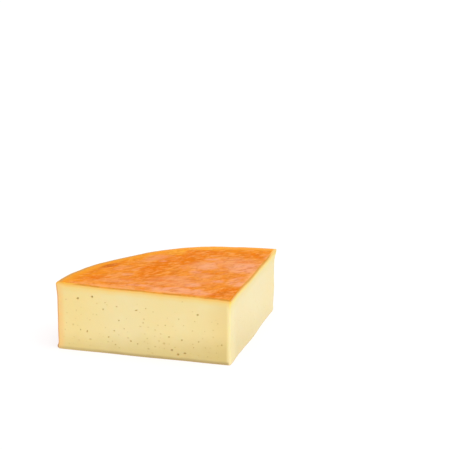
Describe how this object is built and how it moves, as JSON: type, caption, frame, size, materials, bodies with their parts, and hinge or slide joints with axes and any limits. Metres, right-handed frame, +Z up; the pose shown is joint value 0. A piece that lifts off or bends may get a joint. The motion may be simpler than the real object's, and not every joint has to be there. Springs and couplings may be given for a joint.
{
  "type": "semi-hard cheese quarter wheel",
  "caption": "Quarter of a low round cheese with an orange washed rind and a pale yellow paste with small eyes, standing on its flat base.",
  "frame": {"origin": "on the surface the cheese stands on, under the middle of its bounding box", "axes": "+Z up, square to the flat base; one cut face looks along +X, the other along -Y, and the round heel is on the -X +Y side"},
  "size_m": [0.1794, 0.1776, 0.0698],
  "materials": {
    "cheese": "pale yellow semi-hard paste with a slight sheen and small eyes, under a thin orange washed rind on the top, the base and the round heel"
  },
  "bodies": {
    "root": {"cheese_quarter": "cheese"}
  },
  "joints": []
}
